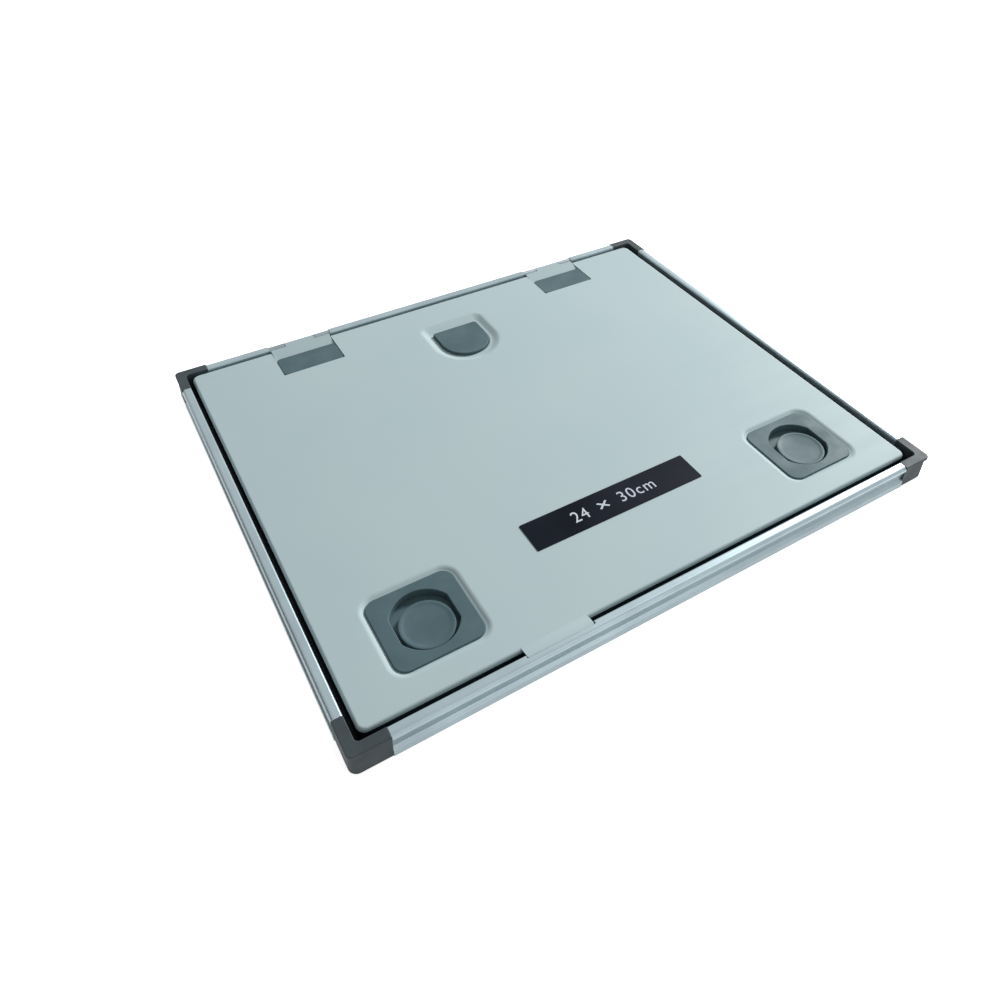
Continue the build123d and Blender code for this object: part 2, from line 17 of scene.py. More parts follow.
import bmesh
import bpy
from mathutils import Matrix, Vector, noise

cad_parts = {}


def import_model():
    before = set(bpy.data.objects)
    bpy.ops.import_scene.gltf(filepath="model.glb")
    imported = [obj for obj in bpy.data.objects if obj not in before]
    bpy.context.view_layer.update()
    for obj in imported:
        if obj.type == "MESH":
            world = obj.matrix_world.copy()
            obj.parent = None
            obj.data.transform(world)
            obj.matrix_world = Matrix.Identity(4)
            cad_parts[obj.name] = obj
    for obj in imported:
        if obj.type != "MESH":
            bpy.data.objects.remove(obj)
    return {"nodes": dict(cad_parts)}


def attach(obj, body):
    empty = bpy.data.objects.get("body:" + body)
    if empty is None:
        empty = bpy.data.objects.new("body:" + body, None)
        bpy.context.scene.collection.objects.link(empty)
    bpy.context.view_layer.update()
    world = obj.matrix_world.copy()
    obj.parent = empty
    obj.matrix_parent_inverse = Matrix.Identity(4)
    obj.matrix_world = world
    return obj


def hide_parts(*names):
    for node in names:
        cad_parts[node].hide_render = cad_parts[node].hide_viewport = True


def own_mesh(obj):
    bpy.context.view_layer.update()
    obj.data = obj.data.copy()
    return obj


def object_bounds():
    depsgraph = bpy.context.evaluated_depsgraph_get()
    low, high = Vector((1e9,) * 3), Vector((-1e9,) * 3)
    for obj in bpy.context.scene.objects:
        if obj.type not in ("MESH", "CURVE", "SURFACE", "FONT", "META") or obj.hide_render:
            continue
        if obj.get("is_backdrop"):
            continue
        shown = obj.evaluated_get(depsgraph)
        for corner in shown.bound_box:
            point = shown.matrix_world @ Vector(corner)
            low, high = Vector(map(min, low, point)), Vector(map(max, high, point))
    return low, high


MM = 0.001
WELD = 0.002 * MM
LEVEL_TOLERANCE = 0.01 * MM
CORNER_STEPS = 8
EDGE_STEPS = 3
ROLL_STEPS = 4
ROUND_STEPS = 96
SHARP_ANGLE = math.radians(32.0)
CREASE_ANGLE = math.radians(12.0)
X_AXIS = Vector((1.0, 0.0, 0.0))
Y_AXIS = Vector((0.0, 1.0, 0.0))
Z_AXIS = Vector((0.0, 0.0, 1.0))

Colour = tuple[float, float, float, float]
Tone = tuple[int, int, int]
Pair = tuple[float, float]
Triple = tuple[float, float, float]
Socket = bpy.types.NodeSocket
Material = bpy.types.Material
Piece = bpy.types.Object
Vert = bmesh.types.BMVert
Edge = bmesh.types.BMEdge
Face = bmesh.types.BMFace

FULL: Pair = (0.0, 1.0)
WHITE: Colour = (1.0, 1.0, 1.0, 1.0)

log = logging.getLogger("cassette")


def mm(*sizes: float) -> tuple[float, ...]:
    """Turn millimetres into metres."""
    return tuple(size * MM for size in sizes)


def run(*points: Pair) -> tuple[Pair, ...]:
    """Turn a line of points in millimetres into metres."""
    return tuple(mm(*point) for point in points)


def display(tone: Tone) -> Colour:
    """Turn a display colour into the linear colour that a shader takes.

    Args:
        tone: Red, green and blue from 0 to 255.

    Returns:
        The linear colour with full alpha.
    """
    shares = (part / 255.0 for part in tone)
    linear = (s / 12.92 if s <= 0.04045 else ((s + 0.055) / 1.055) ** 2.4 for s in shares)
    return (*linear, 1.0)


class Side(Enum):
    """The two ends of the long side, seen from the latches."""

    LEFT = "left"
    RIGHT = "right"

    @property
    def sign(self) -> int:
        """The side's direction along X."""
        return -1 if self is Side.LEFT else 1


class Body(Enum):
    """The bodies that move as one."""

    FRAME = "frame"
    LID = "lid"
    LATCH_LEFT = "latch_left"
    LATCH_RIGHT = "latch_right"

    @classmethod
    def latch(cls, side: Side) -> Body:
        """The latch body on one side."""
        return cls(f"latch_{side.value}")


class Grain(Enum):
    """The direction in which a metal surface was drawn or rolled."""

    ALONG_X = (6.0, 900.0, 900.0)
    ALONG_Y = (900.0, 6.0, 900.0)
    NONE = (160.0, 160.0, 160.0)


# ---------------------------------------------------------------- finishes


class Wiring:
    """A node tree, with the few arrangements that the finishes and the sky share."""

    def __init__(self, tree: bpy.types.NodeTree) -> None:
        """Work on one node tree."""
        self.tree = tree

    def fill(self, node: bpy.types.Node, inputs: dict[str | int, object]) -> None:
        """Give a node's inputs their plain values and their links."""
        for key, value in inputs.items():
            if isinstance(value, Socket):
                self.tree.links.new(value, node.inputs[key])
            else:
                node.inputs[key].default_value = value

    def node(self, kind: str, inputs: dict[str | int, object], output: str, **settings: object) -> Socket:
        """Add a node.

        Args:
            kind: The node's type.
            inputs: A plain value or a link for each input that is set.
            output: The output to return.
            settings: The node's own properties.

        Returns:
            The output that was asked for.
        """
        made = self.tree.nodes.new(kind)
        for key, value in settings.items():
            setattr(made, key, value)
        self.fill(made, inputs)
        return made.outputs[output]

    def spread(self, value: Socket, source: Pair, target: Pair) -> Socket:
        """Map a value from one range to another and clamp it there."""
        ends = dict(zip(("From Min", "From Max", "To Min", "To Max"), (*source, *target)))
        return self.node("ShaderNodeMapRange", {"Value": value, **ends}, "Result", clamp=True)

    def math(self, operation: str, first: Socket, second: Socket) -> Socket:
        """Combine two values."""
        return self.node("ShaderNodeMath", {0: first, 1: second}, "Value", operation=operation)

    def seen(self) -> Socket:
        """One where the camera, a reflection or clear material looks, and nought for other light."""
        path = self.tree.nodes.new("ShaderNodeLightPath").outputs
        first = self.math("MAXIMUM", path["Is Camera Ray"], path["Is Glossy Ray"])
        return self.math("MAXIMUM", first, path["Is Transmission Ray"])


class Bench(Wiring):
    """One material's node tree, whose patterns read Object coordinates."""

    def __init__(self, name: str) -> None:
        """Start a material of the given name."""
        self.material = bpy.data.materials.new(name)
        self.material.use_nodes = True
        super().__init__(self.material.node_tree)
        self.shader = self.tree.nodes["Principled BSDF"]
        self.place = self.node("ShaderNodeTexCoord", {}, "Object")

    def stretched(self, scale: Triple, turn: float = 0.0) -> Socket:
        """Object coordinates scaled per axis, so that a pattern runs in one direction.

        Args:
            scale: The scale along X, Y and Z.
            turn: A turn about Z in radians.

        Returns:
            The mapped coordinates.
        """
        inputs = {"Vector": self.place, "Scale": scale, "Rotation": (0.0, 0.0, turn)}
        return self.node("ShaderNodeMapping", inputs, "Vector")

    def noise(self, place: Socket, scale: float, detail: float = 2.0, rough: float = 0.5) -> Socket:
        """A noise value read at the given coordinates."""
        inputs = {"Vector": place, "Scale": scale, "Detail": detail, "Roughness": rough}
        return self.node("ShaderNodeTexNoise", inputs, "Fac")

    def cells(self, place: Socket, scale: float) -> Socket:
        """The distance field of a cell pattern."""
        return self.node("ShaderNodeTexVoronoi", {"Vector": place, "Scale": scale}, "Distance")

    def mix(self, factor: Socket, low: Tone, high: Tone) -> Socket:
        """Blend two colours by a value from 0 to 1."""
        ramp = self.tree.nodes.new("ShaderNodeValToRGB")
        for element, tone in zip(ramp.color_ramp.elements, (low, high)):
            element.color = display(tone)
        self.fill(ramp, {"Fac": factor})
        return ramp.outputs["Color"]

    def bump(self, height: Socket, depth: float, under: Socket | None = None) -> Socket:
        """Turn a height from 0 to 1 into a normal.

        Args:
            height: The height value.
            depth: The real height of the relief in metres.
            under: A normal that this relief lies on.

        Returns:
            The bent normal.
        """
        inputs = {"Height": height, "Strength": 1.0, "Distance": depth}
        return self.node("ShaderNodeBump", inputs if under is None else {**inputs, "Normal": under}, "Normal")

    def set(self, **inputs: object) -> None:
        """Set or link the shader's own sockets, with _ for a space in a socket's name."""
        self.fill(self.shader, {key.replace("_", " "): value for key, value in inputs.items()})


@dataclass(frozen=True)
class Finish:
    """A finish in two tones that a pattern blends."""

    name: str
    first: Tone
    second: Tone

    def material(self) -> Material:
        """Build the finish's material."""
        bench = Bench(self.name)
        self.lay(bench)
        return bench.material

    def lay(self, bench: Bench) -> None:
        """Lay the finish's patterns."""
        raise NotImplementedError

    def blend(self, bench: Bench, value: Socket, span: Pair) -> None:
        """Colour the shader from the first tone to the second over a span of a value."""
        bench.set(Base_Color=bench.mix(bench.spread(value, span, FULL), self.first, self.second))


@dataclass(frozen=True)
class Enamel(Finish):
    """Satin paint on sheet: a fine orange peel, faint clouding and a few wiping marks."""

    smooth: float = 0.56
    worn: float = 0.62
    gloss: float = 0.2
    peel_depth: float = 0.006 * MM
    peel_scale: float = 620.0
    cloud_scale: float = 14.0
    wipe_stretch: Triple = (9.0, 160.0, 9.0)
    wipe_turn: float = math.radians(24.0)

    def lay(self, bench: Bench) -> None:
        """Lay the paint."""
        self.blend(bench, bench.noise(bench.place, self.cloud_scale, detail=3.0), (0.3, 0.7))
        wipes = bench.noise(bench.stretched(self.wipe_stretch, self.wipe_turn), 1.0, detail=4.0)
        peel = bench.noise(bench.place, self.peel_scale, detail=1.0)
        bench.set(
            Roughness=bench.spread(wipes, (0.42, 0.72), (self.smooth, self.worn)),
            Normal=bench.bump(peel, self.peel_depth),
            Specular_IOR_Level=self.gloss,
        )


@dataclass(frozen=True)
class BareMetal(Finish):
    """Metal with drawing or rolling lines, patches of dullness and small handling marks."""

    grain: Grain = Grain.NONE
    smooth: float = 0.26
    rough: float = 0.42
    body: float = 1.0
    line_depth: float = 0.004 * MM
    patch_scale: float = 38.0
    mark_scale: float = 260.0

    def lay(self, bench: Bench) -> None:
        """Lay the metal."""
        lines = bench.noise(bench.stretched(self.grain.value), 1.0, detail=4.0, rough=0.6)
        self.blend(bench, bench.noise(bench.place, self.patch_scale, detail=3.0), (0.35, 0.75))
        marks = bench.spread(bench.cells(bench.place, self.mark_scale), (0.0, 0.16), FULL)
        bench.set(
            Roughness=bench.spread(lines, (0.3, 0.75), (self.smooth, self.rough)),
            Normal=bench.bump(marks, self.line_depth / 2, bench.bump(lines, self.line_depth)),
            Metallic=self.body,
        )


@dataclass(frozen=True)
class MouldedPlastic(Finish):
    """Moulded plastic with a spark-eroded texture, and a sheen where hands have rubbed it."""

    roughness: Pair = (0.6, 0.46)
    gloss: float = 0.19
    patch_scale: float = 70.0
    patch_detail: float = 3.0
    patch_span: Pair = (0.35, 0.7)
    texture_scale: float = 2600.0
    texture_rough: float = 0.6
    texture_depth: float = 0.012 * MM

    def lay(self, bench: Bench) -> None:
        """Lay the surface, whose patches change both its tone and its roughness."""
        patches = bench.noise(bench.place, self.patch_scale, self.patch_detail)
        self.blend(bench, patches, self.patch_span)
        texture = bench.noise(bench.place, self.texture_scale, rough=self.texture_rough)
        bench.set(
            Roughness=bench.spread(patches, self.patch_span, self.roughness),
            Normal=bench.bump(texture, self.texture_depth),
            Specular_IOR_Level=self.gloss,
        )


@dataclass(frozen=True)
class PrintedFilm(MouldedPlastic):
    """A smooth printed or coated surface, such as a size plate, its print or a screen."""

    roughness: Pair = (0.34, 0.46)
    gloss: float = 0.3
    patch_scale: float = 26.0
    patch_detail: float = 2.0
    patch_span: Pair = (0.3, 0.7)
    texture_scale: float = 234.0
    texture_rough: float = 0.5
    texture_depth: float = 0.004 * MM


@dataclass(frozen=True)
class FeltPile(Finish):
    """Short pressed pile: tangled fibres over a darker ground, with sheen at grazing angles."""

    fibre_scale: float = 1400.0
    fibre_depth: float = 0.12 * MM
    fibre_runs: tuple[tuple[Triple, float], ...] = (((1.0, 0.3, 1.0), 35.0), ((0.3, 1.0, 1.0), -20.0))

    def lay(self, bench: Bench) -> None:
        """Lay the felt."""
        fibres = (
            bench.noise(bench.stretched(stretch, math.radians(turn)), self.fibre_scale, 3.0)
            for stretch, turn in self.fibre_runs
        )
        tangle = bench.math("MULTIPLY", *fibres)
        self.blend(bench, tangle, (0.15, 0.42))
        bench.set(
            Normal=bench.bump(tangle, self.fibre_depth), Roughness=0.95, Sheen_Weight=0.4, Sheen_Roughness=0.5
        )


@dataclass(frozen=True)
class OpenFoam(Finish):
    """Cut open-cell foam: small dark pores, in the second tone, in a matt ground."""

    pore_scale: float = 1500.0
    pore_depth: float = 0.2 * MM

    def lay(self, bench: Bench) -> None:
        """Lay the foam."""
        walls = bench.spread(bench.cells(bench.place, self.pore_scale), (0.1, 0.6), FULL)
        colour = bench.mix(walls, self.second, self.first)
        bench.set(Base_Color=colour, Normal=bench.bump(walls, self.pore_depth), Roughness=0.92)


@dataclass(frozen=True)
class Laminate(Finish):
    """The tube-side panel: a pressed laminate with a fine cross weave under a satin film."""

    weave_scale: float = 520.0
    weave_waver: float = 0.6
    weave_depth: float = 0.01 * MM
    scuff_stretch: Triple = (60.0, 8.0, 8.0)
    scuff_turn: float = math.radians(40.0)

    def lay(self, bench: Bench) -> None:
        """Lay the laminate."""
        inputs = {"Vector": bench.place, "Scale": self.weave_scale, "Distortion": self.weave_waver}
        bands = (bench.node("ShaderNodeTexWave", inputs, "Fac", bands_direction=way) for way in "XY")
        threads = bench.math("MULTIPLY", *bands)
        scuffs = bench.noise(bench.stretched(self.scuff_stretch, self.scuff_turn), 1.0, detail=5.0)
        bench.set(
            Base_Color=bench.mix(threads, self.second, self.first),
            Normal=bench.bump(threads, self.weave_depth),
            Roughness=bench.spread(scuffs, (0.4, 0.7), (0.36, 0.5)),
        )


FINISHES: tuple[Finish, ...] = (
    Enamel("lid_paint", (175, 193, 196), (171, 190, 194)),
    Enamel("leaf_paint", (168, 186, 190), (164, 183, 188)),
    # Painted shade: a matt black for the lid's skirt, standing in for the shade in the gap between the lid
    # and the frame.
    Enamel("skirt_painted_shade", (24, 35, 42), (18, 28, 34), smooth=0.7, worn=0.8, gloss=0.1),
    BareMetal("rail_along_x", (164, 181, 187), (150, 167, 173), Grain.ALONG_X, body=0.65),
    BareMetal("rail_along_y", (164, 181, 187), (150, 167, 173), Grain.ALONG_Y, body=0.65),
    BareMetal("hinge_steel", (146, 156, 160), (130, 140, 144), smooth=0.42, rough=0.56),
    BareMetal("rivet_aluminium", (180, 186, 190), (156, 162, 166)),
    BareMetal("tray_aluminium", (180, 186, 190), (162, 168, 174), Grain.ALONG_X),
    BareMetal("spring_wire", (160, 164, 168), (120, 122, 126)),
    BareMetal("lead_foil", (112, 116, 122), (88, 92, 98), smooth=0.5, rough=0.65),
    MouldedPlastic("cap_plastic", (57, 66, 70), (67, 77, 81)),
    MouldedPlastic("fitting_plastic", (72, 95, 101), (82, 105, 111)),
    PrintedFilm("plate_black", (8, 16, 24), (18, 23, 38), gloss=0.06),
    PrintedFilm("plate_print", (200, 210, 222), (180, 190, 204)),
    PrintedFilm("screen_sheet", (236, 236, 230), (228, 230, 226)),
    FeltPile("felt_pile", (18, 19, 22), (60, 62, 66)),
    OpenFoam("pressure_foam", (74, 76, 82), (22, 23, 26)),
    Laminate("front_laminate", (196, 202, 204), (176, 184, 188)),
)


@cache
def coat(name: str) -> Material:
    """The material of one finish, built when it is first asked for."""
    return next(finish for finish in FINISHES if finish.name == name).material()


# ---------------------------------------------------------------- shaping


def lying(centre: Pair, size: Pair, level: float) -> Matrix:
    """Where a flat rectangle of a size lies, for a square of side one."""
    return Matrix.Translation((*centre, level)) @ Matrix.Diagonal((*size, 1.0, 1.0))


def at_level(item: Edge | Face, level: float) -> bool:
    """Whether all of an edge or a face lies at a level."""
    return all(abs(v.co.z - level) < LEVEL_TOLERANCE for v in item.verts)


def both(*stems: str) -> tuple[str, ...]:
    """The names of the left and right ones of some nodes."""
    return tuple(f"{stem}_{side.value}" for stem in stems for side in Side)


class Form:
    """A mesh being shaped, with the steps that the cassette's pieces share."""

    def __init__(self) -> None:
        """Start with nothing on the bench."""
        self.bm = bmesh.new()

    def grid(self, place: Matrix, counts: tuple[int, int] = (1, 1)) -> list[Vert]:
        """Lay a square of side one, placed by a matrix, and return its vertices."""
        x_count, y_count = counts
        made = bmesh.ops.create_grid(
            self.bm, x_segments=x_count, y_segments=y_count, size=0.5, matrix=place
        )
        return made["verts"]

    def plate(self, centre: Pair, size: Pair, corner: float, level: float) -> Face:
        """Lay a flat plate with rounded corners.

        Args:
            centre: Its middle in X and Y.
            size: Its length along X and Y.
            corner: The radius of its corners.
            level: Its height.

        Returns:
            The plate's one face.
        """
        return self.round_corners(self.grid(lying(centre, size, level)), corner)

    def block(self, centre: Pair, size: Pair, corner: float, foot: float, top: float) -> Face:
        """Make a block with rounded corners from a foot to a top, and return its top face."""
        return self.raised(self.plate(centre, size, corner, foot), top - foot)

    def round_corners(self, corners: list[Vert], radius: float, steps: int = CORNER_STEPS) -> Face:
        """Round some corners of a flat face and return that face."""
        made = bmesh.ops.bevel(
            self.bm, geom=corners, offset=radius, segments=steps, profile=0.5, affect="VERTICES", material=-1
        )
        return max(made["verts"][0].link_faces, key=lambda face: len(face.verts))

    def shield(self, front: float, rear: float, half: float, corner: float, level: float) -> Face:
        """Lay a flat plate with a half-round front and a flat rear.

        Args:
            front: The lowest Y of the round front.
            rear: The Y of the flat rear.
            half: Half the width, which is also the front's radius.
            corner: The radius of the two rear corners.
            level: Its height.

        Returns:
            The plate's one face.
        """
        middle = (0.0, (front + rear) / 2)
        verts = self.grid(lying(middle, (2 * half, rear - front), level))
        rear_corners = [v for v in verts if v.co.y > middle[1]]
        front_corners = [v for v in verts if v.co.y < middle[1]]
        anchor = max(self.round_corners(rear_corners, corner).verts, key=lambda v: v.co.y)
        rounded = self.round_corners(front_corners, half, 2 * CORNER_STEPS)
        bmesh.ops.remove_doubles(self.bm, verts=list(rounded.verts), dist=WELD)
        return anchor.link_faces[0]

    def disc(self, centre: Pair, radius: float, level: float, steps: int = ROUND_STEPS) -> Face:
        """Lay a flat round plate."""
        made = bmesh.ops.create_circle(
            self.bm, cap_ends=True, segments=steps, radius=radius, matrix=Matrix.Translation((*centre, level))
        )
        return made["verts"][0].link_faces[0]

    def trim(self, face: Face, place: Vector, outward: Vector) -> Face:
        """Cut one face along a plane and keep the part behind it."""
        geometry = [face, *face.edges, *face.verts]
        made = bmesh.ops.bisect_plane(
            self.bm, geom=geometry, plane_co=place, plane_no=outward, clear_outer=True, dist=WELD
        )
        return next(item for item in made["geom"] if isinstance(item, Face))

    def raised(self, face: Face, height: float) -> Face:
        """Pull a plate up into a block and return its top."""
        made = bmesh.ops.extrude_face_region(self.bm, geom=[face])["geom"]
        bmesh.ops.translate(self.bm, verts=self.verts(made), vec=(0.0, 0.0, height))
        return next(item for item in made if isinstance(item, Face))

    def ring(self, face: Face, inset: float, sink: float = 0.0) -> None:
        """Inset a face and lower what is left of it."""
        bmesh.ops.inset_region(
            self.bm, faces=[face], thickness=inset, depth=0.0, use_even_offset=True, use_boundary=True
        )
        if sink:
            bmesh.ops.translate(self.bm, verts=list(face.verts), vec=(0.0, 0.0, -sink))

    def soften(self, edges: Iterable[Edge], width: float, steps: int = EDGE_STEPS) -> None:
        """Round some edges."""
        bmesh.ops.bevel(
            self.bm,
            geom=list(edges),
            offset=width,
            offset_type="OFFSET",
            segments=steps,
            profile=0.5,
            affect="EDGES",
            clamp_overlap=True,
            material=-1,
        )

    def drop_to(self, edges: Iterable[Edge], level: float) -> None:
        """Pull a wall down from some edges to one level."""
        made = bmesh.ops.extrude_edge_only(self.bm, edges=list(edges))["geom"]
        for vert in self.verts(made):
            vert.co.z = level
        self.weld()

    def open(self, faces: Iterable[Face]) -> None:
        """Take faces out, with the edges that only they use."""
        bmesh.ops.delete(self.bm, geom=list(faces), context="FACES")

    def close_level(self, level: float) -> None:
        """Fill between all open edges at one level, leaving the holes that lie inside."""
        self.fill_between([e for e in self.bm.edges if len(e.link_faces) < 2 and at_level(e, level)])

    def fill_between(self, rims: list[Edge]) -> None:
        """Fill a flat region between its outlines."""
        bmesh.ops.triangle_fill(self.bm, edges=rims, use_beauty=True, use_dissolve=False, normal=(0, 0, 1))

    def weld(self) -> None:
        """Merge vertices that lie in one place."""
        bmesh.ops.remove_doubles(self.bm, verts=self.bm.verts, dist=WELD)

    def faces(self, test: Callable[[Vector], bool]) -> list[Face]:
        """The faces whose middles pass a test."""
        return [f for f in self.bm.faces if test(f.calc_center_median())]

    def rim(self) -> list[Edge]:
        """The edges that have one face."""
        return [e for e in self.bm.edges if e.is_boundary]

    def slice(self, axis: Vector, at: float, test: Callable[[Vector], bool] = lambda c: True) -> None:
        """Divide faces along a plane and keep both halves.

        Args:
            axis: The plane's direction.
            at: The plane's place along that axis.
            test: Which faces to divide, by their middles; all of them if left out.
        """
        items = dict.fromkeys(item for f in self.faces(test) for item in (f, *f.edges, *f.verts))
        bmesh.ops.bisect_plane(self.bm, geom=list(items), plane_co=axis * at, plane_no=axis, dist=WELD)

    def ease(self, test: Callable[[Edge], bool], width: float) -> None:
        """Round the clearly bent edges that pass a test."""
        inner = (e for e in self.bm.edges if len(e.link_faces) == 2)
        self.soften([e for e in inner if e.calc_face_angle(0.0) > CREASE_ANGLE and test(e)], width)

    def hole_at(self, level: float, outline: Callable[[], Face]) -> None:
        """Pierce the last pressed floor at a level with an outline's shape."""
        flat = [f for f in self.bm.faces if at_level(f, level)]
        hole = outline()
        inside = hole.calc_center_median()
        floor = max((f for f in flat if self.spans(f, inside)), key=lambda f: f.calc_area())
        rims = [*floor.edges, *hole.edges]
        bmesh.ops.delete(self.bm, geom=[floor, hole], context="FACES_ONLY")
        self.fill_between(rims)

    @staticmethod
    def spans(face: Face, point: Vector) -> bool:
        """Whether a face's bounds hold a point in plan."""
        places = ([v.co[i] for v in face.verts] for i in range(2))
        return all(min(along) < part < max(along) for along, part in zip(places, point))

    def clear_levels(self, *levels: float) -> None:
        """Take away the flat faces at some levels, and leave their outlines."""
        flat = [f for f in self.bm.faces if any(at_level(f, level) for level in levels)]
        bmesh.ops.delete(self.bm, geom=flat, context="FACES_ONLY")

    def roll_in(self, face: Face, radius: float) -> None:
        """Round the way down into a face's outline, as a quarter round."""
        turns = [math.pi / 2 * step / ROLL_STEPS for step in range(ROLL_STEPS + 1)]
        for last, turn in zip(turns, turns[1:]):
            inset = radius * (math.sin(turn) - math.sin(last))
            self.ring(face, inset, radius * (math.cos(last) - math.cos(turn)))

    def deepen(self, face: Face, depth: float) -> None:
        """Push a face straight down, with a wall round it."""
        made = bmesh.ops.extrude_discrete_faces(self.bm, faces=[face])["faces"][0]
        bmesh.ops.translate(self.bm, verts=list(made.verts), vec=(0.0, 0.0, -depth))

    def turned(self, profile: Iterable[Pair], centre: Pair) -> None:
        """Turn a profile of radii and heights, from pole to pole, about an upright axis."""
        before = set(self.bm.verts)
        chain = [self.bm.verts.new((centre[0] + radius, centre[1], height)) for radius, height in profile]
        links = [self.bm.edges.new(pair) for pair in zip(chain, chain[1:])]
        bmesh.ops.spin(
            self.bm,
            geom=chain + links,
            cent=(*centre, 0.0),
            axis=(0.0, 0.0, 1.0),
            angle=math.tau,
            steps=ROUND_STEPS,
            use_merge=True,
            use_duplicate=False,
        )
        bmesh.ops.remove_doubles(self.bm, verts=[v for v in self.bm.verts if v not in before], dist=WELD)

    @staticmethod
    def verts(items: Iterable[object]) -> list[Vert]:
        """The vertices among some mesh elements."""
        return [item for item in items if isinstance(item, Vert)]

    def placed(self, name: str, material: Material) -> Piece:
        """Turn the form into an object of one material and end the shaping."""
        mesh = bpy.data.meshes.new(name)
        self.bm.to_mesh(mesh)
        self.bm.free()
        mesh.materials.append(material)
        piece = bpy.data.objects.new(name, mesh)
        bpy.context.scene.collection.objects.link(piece)
        return piece

    def finish(self, name: str, coating: str, body: Body, *replaced: str, slot: str = "") -> Piece:
        """Turn the form into a piece of the cassette.

        Args:
            name: The piece's name.
            coating: Its finish.
            body: The body that it rides on.
            replaced: The solids that it stands for.
            slot: The record's material slot, where it isn't named like the finish; not used.

        Returns:
            The finished object.
        """
        self.weld()
        bmesh.ops.recalc_face_normals(self.bm, faces=self.bm.faces)
        for face in self.bm.faces:
            face.smooth = True
        piece = self.placed(name, coat(coating))
        piece.data.set_sharp_from_angle(angle=SHARP_ANGLE)
        piece.modifiers.new("even_shading", "WEIGHTED_NORMAL").keep_sharp = True
        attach(piece, body.value)
        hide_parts(*replaced)
        log.info("%s: %d faces on %s", name, len(piece.data.polygons), body.value)
        return piece


def dress(nodes: dict[str, Piece], coating: str, *names: str) -> None:
    """Give carried-over solids their finish.

    Args:
        nodes: The frame's nodes by name.
        coating: The finish that they all take.
        names: The nodes to dress.
    """
    for name in names:
        for slot in nodes[name].material_slots:
            slot.material = coat(coating)
        log.info("%s: dressed in %s", name, coating)


# ---------------------------------------------------------------- lid


